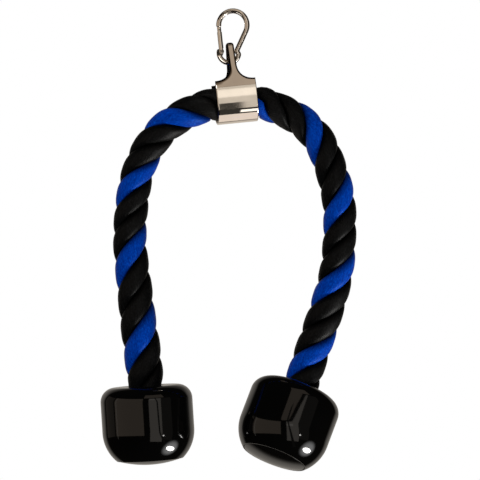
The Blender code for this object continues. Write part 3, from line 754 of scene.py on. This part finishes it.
def build_rope(yarns):
    place = collar_frame()
    axis = place.to_3x3() @ Vector((1, 0, 0))
    half = collar_width / 2 + seat_gap
    first_turn = -blue_turn("left", 0.0)
    last_turn = blue_turn("right", 0.0)
    while last_turn < first_turn:
        last_turn += 2 * math.pi
    start = place.translation - axis * half

    def between(ends, distance):
        return ends["left"] + (ends["right"] - ends["left"]) * eased(distance, 0.0, 2 * half)

    def centre_place(distance):
        return start + axis * distance - Vector((0, 0, between(mouth_sag, distance)))

    def centre_turn(distance):
        return first_turn + (last_turn - first_turn) * distance / (2 * half)

    centre = strands("rope_in_collar", centre_place, lambda d: axis, centre_turn,
                     lambda d: between(mouth_swell, d) + arch_swell, 0.0, 2 * half, yarns)
    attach(centre, "collar")
    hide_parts("rope_centre")

    for side in limb_sides:
        route = limb_route(side)
        knob_top = route.place(route.length)
        down = route.direction(route.length)
        seam = route.length - free_length
        turn_at = lambda d, s=side: blue_turn(s, d)
        girth_at = lambda d, s=side, end=route.length: girth(s, d, end)
        shoulder = strands(f"rope_shoulder_{side}", route.place, route.direction, turn_at, girth_at,
                           0.0, seam, yarns)
        route.place(0.0)
        route.place(shoulder_blend)
        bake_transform(shoulder)
        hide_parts(f"rope_{side}_upper")
        limb = strands(f"rope_limb_{side}", route.place, route.direction, turn_at, girth_at,
                       seam, route.length, yarns)
        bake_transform(limb)
        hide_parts(f"rope_{side}_upper", f"rope_{side}_lower")
        path_count = math.ceil(free_length / cord_point_spacing)
        path = [route.place(seam + distance) for distance in evenly(0.0, free_length, path_count)]
        tail = strands(f"rope_end_{side}", route.place, lambda d, v=down: v, turn_at, girth_at,
                       route.length, route.length + tail_end, yarns)
        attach(tail, f"{side}_lower")
        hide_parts(f"rope_{side}_tail")


# Snap hook

def limb_lean(half_width, height):
    """Lean of the straight line that runs from a point up to touch the hook's bow."""
    rise = hook_bow_height - height
    reach = math.hypot(half_width, rise)
    return math.asin(hook_bow_radius / reach) - math.atan2(half_width, rise)


def hook_centreline():
    """The bent wire's centreline in the hook's plane, from the nose round to the eye's end."""
    right_lean = limb_lean(hook_neck_half_width, hook_neck_height)
    left_lean = limb_lean(gate_pivot_half_width, gate_pivot_height)
    bow_centre = (0, hook_bow_height)
    points = arc(bow_centre, hook_bow_radius, math.pi + left_lean, -right_lean, hook_bow_steps)
    neck = Vector((hook_neck_half_width, hook_neck_height))
    eye_entry = Vector((math.cos(hook_eye_start), math.sin(hook_eye_start))) * hook_eye_radius
    slope = 3 * hook_neck_reach_share * (eye_entry - neck).length
    leaving = -slope * Vector((math.sin(right_lean), math.cos(right_lean)))
    arriving = slope * Vector((math.sin(hook_eye_start), -math.cos(hook_eye_start)))
    last = Vector(points[-1])
    points += [tuple(last.lerp(neck, share)) for share in hook_limb_point_shares]
    points += [tuple(hermite(share, neck, eye_entry, leaving, arriving))
               for share in evenly(0.0, 1.0, hook_neck_steps)[:-1]]
    return points + arc((0, 0), hook_eye_radius, hook_eye_start, hook_eye_end, hook_eye_steps)


def wire_rings(points):
    """Rings of a round wire along points in the XZ plane, its end faces' edges rounded."""
    places = [Vector(point) for point in points]
    stations = []
    for before, place, after in zip(places[:1] + places, places, places[1:] + places[-1:]):
        stations.append((place, (after - before).normalized(), wire_radius))
    edge = [(wire_end_round * (1 - math.cos(turn)), wire_radius - wire_end_round * (1 - math.sin(turn)))
            for turn in evenly(0.0, math.pi / 2, wire_end_steps)[:-1]]
    start, onward = stations[0][:2]
    end, away = stations[-1][:2]
    stations = ([(start + onward * inset, onward, size) for inset, size in edge] + stations[1:-1]
                + [(end - away * inset, away, size) for inset, size in reversed(edge)])
    rings = []
    for place, along, size in stations:
        normal = Vector((-along.y, along.x))
        rings.append([(place.x + normal.x * size * math.cos(a), size * math.sin(a),
                       place.y + normal.y * size * math.cos(a))
                      for a in evenly(0.0, 2 * math.pi, hook_wire_sides)[:-1]])
    return rings


def build_hook(hook_steel):
    hook_frame = Matrix.Rotation(hook_tilt, 4, "Y") @ Matrix.Translation((0, 0, -hook_height))
    lean = limb_lean(gate_pivot_half_width, gate_pivot_height)
    gate_frame = (hook_frame @ Matrix.Translation((-gate_pivot_half_width, 0, gate_pivot_height))
                  @ Matrix.Rotation(-lean, 4, "Y"))
    wire = placed(lofted("hook_wire", wire_rings(hook_centreline()), closed=False), hook_frame, hook_steel)
    tongue = arc((0, 0), hook_eye_radius, hook_eye_end + tongue_overlap, hook_eye_end - tongue_bend,
                 tongue_steps)
    tongue.append((-gate_pivot_half_width, gate_pivot_height))
    limb = math.hypot(gate_pivot_half_width, hook_bow_height - gate_pivot_height)
    nose_root = math.sqrt(limb ** 2 - hook_bow_radius ** 2) + nose_half_width
    nose = [(0, nose_root), (0, nose_root - nose_reach)]
    plates = (("hook_eye_tongue", tongue, wire_radius, hook_frame),
              ("hook_nose_tongue", nose, nose_half_width, gate_frame))
    for name, points, radius, place in plates:
        obj = placed(tongue_plate(name, points, radius), place, hook_steel)
        modifier = obj.modifiers.new("edge", "BEVEL")
        modifier.width = plate_bevel
        modifier.segments = plate_bevel_steps
        modifier.limit_method = "ANGLE"
        modifier.angle_limit = smooth_angle
        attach(obj, "hook")
    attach(wire, "hook")
    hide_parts("carabiner_body")


# Collar

def flare_half_width(rise):
    """Half of the strap's width at a height above its shoulders, along the strap."""
    if rise >= strap_flare:
        return stem_width / 2
    sweep = strap_flare ** flare_power - (strap_flare - max(rise, 0)) ** flare_power
    return collar_width / 2 - sweep ** (1 / flare_power)


def strap_stations(shoulder_height):
    """Half of the strap in side view, from the seam under the rope to the fold's crest.

    Each station is a point, its outward normal, half of the width there, the rise above the shoulders and
    how much painted shade the bend of the fold gets.
    """
    half = strap_thickness / 2
    radius = collar_inner_radius + half
    fold_radius = fold_inner_radius + half

    def out(angle):
        return Vector((-math.cos(angle), math.sin(angle)))

    def bend(centre, size, start, end, steps):
        return [(centre + out(angle) * size, out(angle), collar_width / 2, -collar_height, 0)
                for angle in evenly(start, end, steps)]

    stations = bend(Vector((0, 0)), radius, -math.pi / 2, 0.0, strap_round_steps)[:-1]
    front_radius = collar_front_height / math.sin(collar_front_turn)
    front_centre = out(0) * (radius - front_radius)
    stations += bend(front_centre, front_radius, 0.0, collar_front_turn, strap_front_steps)[:-1]
    bend_centre = front_centre + out(collar_front_turn) * (front_radius - collar_bend_radius)
    fold_centre = Vector((0, fold_height))
    offset = bend_centre - fold_centre
    lean = (math.atan2(offset.y, -offset.x)
            + math.acos((fold_radius - collar_bend_radius) / offset.length))
    stations += bend(bend_centre, collar_bend_radius, collar_front_turn, lean, strap_bend_steps)
    normal = out(lean)
    up = Vector((math.sin(lean), math.cos(lean)))
    leg = bend_centre + normal * collar_bend_radius
    shoulder = leg + up * (shoulder_height - leg.y) / up.y
    fold_start = fold_centre + normal * fold_radius
    stem_rise = (fold_start - shoulder).dot(up)
    rises = evenly(-stem_edge_round, 0.0, strap_shoulder_steps)[:-1]
    turns = evenly(0.0, math.pi / 2, strap_flare_steps)[:-1]
    rises += [strap_flare * (1 - math.cos(turn)) for turn in turns]
    rises += evenly(strap_flare, stem_rise, strap_stem_steps)[:-1]
    stations += [(shoulder + up * rise, normal, flare_half_width(rise), rise, 0) for rise in rises]
    for angle in evenly(lean, math.pi / 2, strap_fold_steps):
        share = math.sin(angle - lean) ** 2 / math.cos(lean) ** 2
        half_width = (stem_width - share * (stem_width - fold_crest_width)) / 2
        shade = eased(angle, lean, lean + fold_shade_turn)
        stations.append((fold_centre + out(angle) * fold_radius, out(angle), half_width, stem_rise, shade))
    return stations


def edge_losses(x, half_width, rise):
    """How far a point across the strap lies into its edges, from 0 to 1: sheared edge, rim, and painted
    shade.
    """
    gap = half_width - abs(x)
    rim_gap = gap if rise < 0 else collar_edge_round
    if rise < strap_flare:
        across = (collar_width / 2 - abs(x)) ** flare_power
        gap = (across + (strap_flare - rise) ** flare_power) ** (1 / flare_power) - strap_flare
    # The painted shade is wider on the left of the flare
    left_shade, shade_width = edge_shade_widths
    if x < 0:
        shade_width += (left_shade - shade_width) * (1 - eased(rise, strap_flare / 3, strap_flare))
    spans = ((gap, stem_edge_round), (rim_gap, collar_edge_round), (gap, shade_width))
    return [1 - min(max(space / size, 0), 1) for space, size in spans]


def strap_ring(point, normal, half_width, rise, fold_shade):
    """Section of the strap, whose front and back meet in rounded edges, and the painted shade of each point.
    """
    section = []
    shades = []
    for step in range(2 * strap_across_steps):
        angle = math.pi * step / strap_across_steps
        x = half_width * -math.cos(angle)
        sheared, rim, shade = edge_losses(x, half_width, rise)
        side = 1 if step < strap_across_steps else -1
        out = side * strap_thickness / 2 * math.sqrt(1 - max(sheared, rim) ** 2)
        section.append((x, point.x + normal.x * out, point.y + normal.y * out))
        shades.append(max(shade, fold_shade))
    return section, shades


def build_collar(collar_steel):
    sections = [strap_ring(*station) for station in strap_stations(collar_shoulder_height)]
    mirror = Vector((-1, 1))
    for point, normal, *rest in reversed(strap_stations(collar_back_shoulder_height)[1:-1]):
        sections.append(strap_ring(point * mirror, normal * mirror, *rest))
    mesh = lofted("collar_strap_polished", [ring for ring, shades in sections], closed=True)
    # Painted shade on the strap's edges and along the fold's bend, one value for each point
    layer = mesh.attributes.new("painted_edge_shade", "FLOAT", "POINT")
    layer.data.foreach_set("value", [shade for ring, shades in sections for shade in shades])
    strap = placed(mesh, collar_frame(), collar_steel, strap_smooth_angle)
    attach(strap, "collar")
    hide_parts("collar_strap")


# Knobs

def shoulder_curve(width, top, drop, steps):
    """Quarter of an ellipse, from the rim of the flat top out and down to the side."""
    return [(knob_top_flat_radius + width * math.sin(turn), top - drop * (1 - math.cos(turn)))
            for turn in evenly(0.0, math.pi / 2, steps)]


def belly_curve(outer, inner, top, bottom, steps):
    """Round stretch that leaves the straight side at the top and draws in to the mouth at the bottom."""
    turn = 2 * math.atan2(outer - inner, top - bottom)
    radius = (top - bottom) / math.sin(turn)
    return arc((outer - radius, top), radius, 0.0, -turn, steps)


def shell_outline():
    """Bore's rounded edge, outside, mouth, ledge for the cap, inside and socket of the shell."""
    mouth_radius = cap_radius + seat_gap
    ledge = cap_edge_height - knob_mouth_depth
    inner_radius = knob_radius - knob_wall
    outline = arc((bore_radius + knob_bore_round, -knob_bore_round), knob_bore_round, math.pi, math.pi / 2,
                  knob_bore_steps)
    outline += shoulder_curve(knob_radius - knob_top_flat_radius, 0.0, knob_shoulder_height,
                              knob_shoulder_steps)
    outline += belly_curve(knob_radius, mouth_radius + knob_lip_width, -knob_straight_end,
                           -knob_mouth_depth, knob_belly_steps)
    outline += [(mouth_radius, -knob_mouth_depth), (mouth_radius, ledge)]
    outline += reversed(belly_curve(inner_radius, mouth_radius - cap_ledge_width,
                                    -knob_straight_end - knob_wall, ledge, knob_inner_steps))
    outline += reversed(shoulder_curve(inner_radius - knob_top_flat_radius, -knob_wall,
                                       knob_shoulder_height - knob_wall, knob_inner_steps))
    return outline + [(socket_radius, -knob_wall), (socket_radius, -socket_depth),
                      (bore_radius, -socket_depth)]


def cap_outline():
    """Domed cap whose rim fills the mouth and whose inner ring snaps into the shell."""
    rim = -knob_mouth_depth
    dome = knob_height - knob_mouth_depth
    radius = (cap_radius ** 2 + dome ** 2) / (2 * dome)
    half_angle = math.asin((cap_radius - cap_edge_round) / radius)
    snap_radius = cap_radius - cap_ledge_width
    snap_inner_radius = snap_radius - cap_snap_wall
    snap_top = rim + cap_edge_height + cap_snap_height
    floor_top = rim + cap_floor_thickness
    edge_top = rim + cap_edge_height - seat_gap
    points = arc((0, radius - knob_height), radius, -math.pi / 2, half_angle - math.pi / 2, cap_dome_steps)
    points[0] = (0, -knob_height)
    return points + [(cap_radius, rim + cap_edge_round), (cap_radius, edge_top), (snap_radius, edge_top),
                     (snap_radius, snap_top), (snap_inner_radius, snap_top),
                     (snap_inner_radius, floor_top), (0, floor_top)]


def build_knobs(shell_plastic, cap_plastic):
    for side in limb_sides:
        place = knob_frame(side)
        pieces = (
            (f"knob_moulding_{side}", shell_outline(), shell_plastic, f"knob_{side}_shell", "knob_plastic"),
            (f"knob_end_{side}", cap_outline(), cap_plastic, f"knob_{side}_cap", "cap_plastic"),
        )
        for name, outline, material, node, slot in pieces:
            obj = placed(turned(name, outline), place, material, knob_smooth_angle)
            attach(obj, f"{side}_knob")
            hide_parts(node)


# Studio

def hide_from(obj, *rays):
    for ray in rays:
        setattr(obj, f"visible_{ray}", False)


def area_light(name, shape, size, watts, colour, place):
    light = bpy.data.lights.new(name, "AREA")
    light.shape = shape
    light.size, light.size_y = size
    light.energy = watts
    light.color = colour
    obj = bpy.data.objects.new(name, light)
    obj.matrix_world = place
    bpy.context.collection.objects.link(obj)
    return obj


def light_room():
    for name, (place, target, size, watts, colour, in_gloss) in round_lamps.items():
        turn = (Vector(target) - Vector(place)).to_track_quat("-Z", "Y").to_matrix().to_4x4()
        lamp = area_light(name, "ELLIPSE", size, watts, colour, Matrix.Translation(place) @ turn)
        lamp.visible_glossy = in_gloss


def white_background():
    """White where the camera, gloss or glass looks past the object; plain ambient light otherwise."""
    world = bpy.data.worlds.new("studio")
    bpy.context.scene.world = world
    world.use_nodes = True
    tree = world.node_tree
    path = add_node(tree, "ShaderNodeLightPath").outputs
    seen = math_of(tree, "MAXIMUM", path["Is Camera Ray"], path["Is Glossy Ray"])
    seen = math_of(tree, "MAXIMUM", seen, path["Is Transmission Ray"])
    feed(tree, tree.nodes["Background"], {"Color": (1.0,) * 4, "Strength": spread(tree, seen, ambient, 1.0)})


def floor():
    """Pale floor under the hanging part; it fades into the white background away from the shadow."""
    bm = bmesh.new()
    bmesh.ops.create_circle(bm, cap_ends=True, segments=floor_sides, radius=floor_radius)
    material, tree, shader = new_material("floor_paper")
    feed(tree, shader, {
        "Base Color": (floor_grey, floor_grey, floor_grey, 1.0),
        "Roughness": floor_roughness,
        "Emission Color": (1.0,) * 4,
        "Emission Strength": floor_glow,
    })
    away = vector_math(tree, "LENGTH", point_of(tree, "Object"), output="Value")
    faded = spread(tree, away, 0.0, 1.0, *floor_fade, "SMOOTHSTEP")
    glow = add_node(tree, "ShaderNodeEmission").outputs["Emission"]
    blend = add_node(tree, "ShaderNodeMixShader", {0: faded, 1: shader.outputs["BSDF"], 2: glow})
    feed(tree, tree.nodes["Material Output"], {"Surface": blend.outputs["Shader"]})
    obj = link_object(mesh_of("floor", bm), material)
    obj.location = (0, 0, floor_height)
    hide_from(obj, "shadow", "diffuse", "glossy")


def emitter(mesh, colour):
    """A plain lit surface that only reflections see."""
    material, tree, shader = new_material(mesh.name)
    tree.nodes.remove(shader)
    glow = add_node(tree, "ShaderNodeEmission", {"Color": (*colour, 1.0)})
    feed(tree, tree.nodes["Material Output"], {"Surface": glow.outputs["Emission"]})
    obj = link_object(mesh, material)
    hide_from(obj, "camera", "diffuse", "shadow", "transmission")
    return tree, glow


def reflection_tent():
    """Dark cloth all round, lighter behind, where the paper hangs, with a glow round the key lamp."""
    bm = bmesh.new()
    bmesh.ops.create_uvsphere(bm, u_segments=tent_segments[0], v_segments=tent_segments[1],
                              radius=tent_radius)
    tree, light = emitter(mesh_of("tent", bm), tent_dark)
    direction = vector_math(tree, "NORMALIZE", point_of(tree, "Object"))
    parts = add_node(tree, "ShaderNodeSeparateXYZ", {0: direction}).outputs
    behind = spread(tree, parts["Y"], 0.0, 1.0, *paper_back, "SMOOTHSTEP")
    lowered = spread(tree, parts["Z"], 1.0, paper_top_share, *paper_rise, "SMOOTHSTEP")
    paper = math_of(tree, "MULTIPLY", behind, lowered)
    colour = ramp_of(tree, paper, [(0.0, tent_dark), (1.0, tent_paper)])
    nearness = vector_math(tree, "DOT_PRODUCT", direction, glow_direction, output="Value")
    halo = spread(tree, nearness, 0.0, 1.0, math.cos(glow_reach), math.cos(glow_core), "SMOOTHSTEP")
    lit = add_node(tree, "ShaderNodeMix", data_type="RGBA")
    factor, plain, glowing = [socket for socket in lit.inputs if socket.enabled]
    tree.links.new(halo, factor)
    tree.links.new(colour, plain)
    glowing.default_value = glow_colour
    result = next(socket for socket in lit.outputs if socket.enabled)
    feed(tree, light, {"Color": result})


def grid_mesh(name, rows):
    """Mesh over a grid of points."""
    bm = bmesh.new()
    lines = [[bm.verts.new(point) for point in row] for row in rows]
    for first, second in zip(lines, lines[1:]):
        for a, b, c, d in zip(first, first[1:], second[1:], second):
            bm.faces.new((a, b, c, d))
    return mesh_of(name, bm)


def panel_direction(bearing, height):
    """Direction at a bearing from the front and a height over the horizon, both in degrees."""
    raised = Matrix.Rotation(-math.radians(height), 3, "X") @ Vector((0, -1, 0))
    return Matrix.Rotation(math.radians(bearing), 3, "Z") @ raised


def reflection_panels():
    for layer, (name, (bearings, heights, colour)) in enumerate(tent_panels.items()):
        radius = panel_radius - panel_step * layer
        rows = [[frame_centre + panel_direction(bearing, height) * radius
                 for bearing in evenly(*bearings, panel_steps)] for height in evenly(*heights, panel_steps)]
        emitter(grid_mesh(name, rows), colour)


def reflection_flag():
    """Narrow dark flag far in front, along the camera's view as the collar's round front mirrors it."""
    place = collar_frame()
    rows = []
    for turn in evenly(*flag_turns, flag_steps):
        out = Vector((0, -math.cos(turn), -math.sin(turn)))
        row = []
        for x in flag_limits:
            point = place @ (Vector((x, 0, 0)) + out * (collar_inner_radius + strap_thickness))
            view = (point - camera_place).normalized()
            row.append(point + view.reflect(place.to_3x3() @ out) * flag_distance)
        rows.append(row)
    emitter(grid_mesh("flag", rows), flag_colour)


def near_lamps():
    """Small flat lamps close to the collar and the hook, seen only in their gloss."""
    bow = Matrix.Translation((0, 0, -hook_bow_radius))
    for place, table in ((collar_frame(), collar_lamps), (bow, hook_lamps)):
        for name, (*edges, radiance) in table.items():
            top, bottom = [place @ Vector(((left + right) / 2, -forward, -down))
                           for forward, down, left, right in edges]
            centre = (top + bottom) / 2
            across = (bottom - top).normalized()
            back = (place.to_3x3() @ Vector((1, 0, 0))).cross(across).normalized()
            if back.dot(place.translation - centre) > 0:
                back = -back
            turn = Matrix((across.cross(back), across, back)).transposed().to_4x4()
            width = sum(right - left for forward, down, left, right in edges) / 2
            height = (bottom - top).length
            strength = max(radiance)
            watts = strength * lamp_watts_per_area * width * height
            colour = [channel / strength for channel in radiance]
            lamp = area_light(name, "RECTANGLE", (width, height), watts, colour,
                              Matrix.Translation(centre) @ turn)
            hide_from(lamp, "camera", "diffuse")


def finish_hardware(steels):
    """Materials for the CAD nodes that stay: the gate, its pins and the fasteners inside the knobs."""
    finishes = {"carabiner_gate": "steel_gate"}
    for name in ("gate_rivet", "gate_latch_pin", "gate_spring", "gate_plunger"):
        finishes[name] = "steel_pin"
    for side in limb_sides:
        for part in ("ferrule", "washer", "screw"):
            finishes[f"{part}_{side}"] = "steel_zinc"
    for name, finish in finishes.items():
        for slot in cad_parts[name].material_slots:
            slot.material = steels[finish]


def build_scene():
    bpy.context.scene.view_settings.view_transform = "Standard"
    set_camera()
    build_rope([yarn(name, *finish) for name, finish in yarn_finishes.items()])
    steels = {name: steel(name, *finish) for name, finish in steel_finishes.items()}
    build_hook(steels["steel_hook"])
    build_collar(steels["steel_collar"])
    build_knobs(*[moulded(name, *finish) for name, finish in plastic_finishes.items()])
    finish_hardware(steels)
    white_background()
    floor()
    reflection_tent()
    reflection_panels()
    reflection_flag()
    near_lamps()
    light_room()


build_scene()
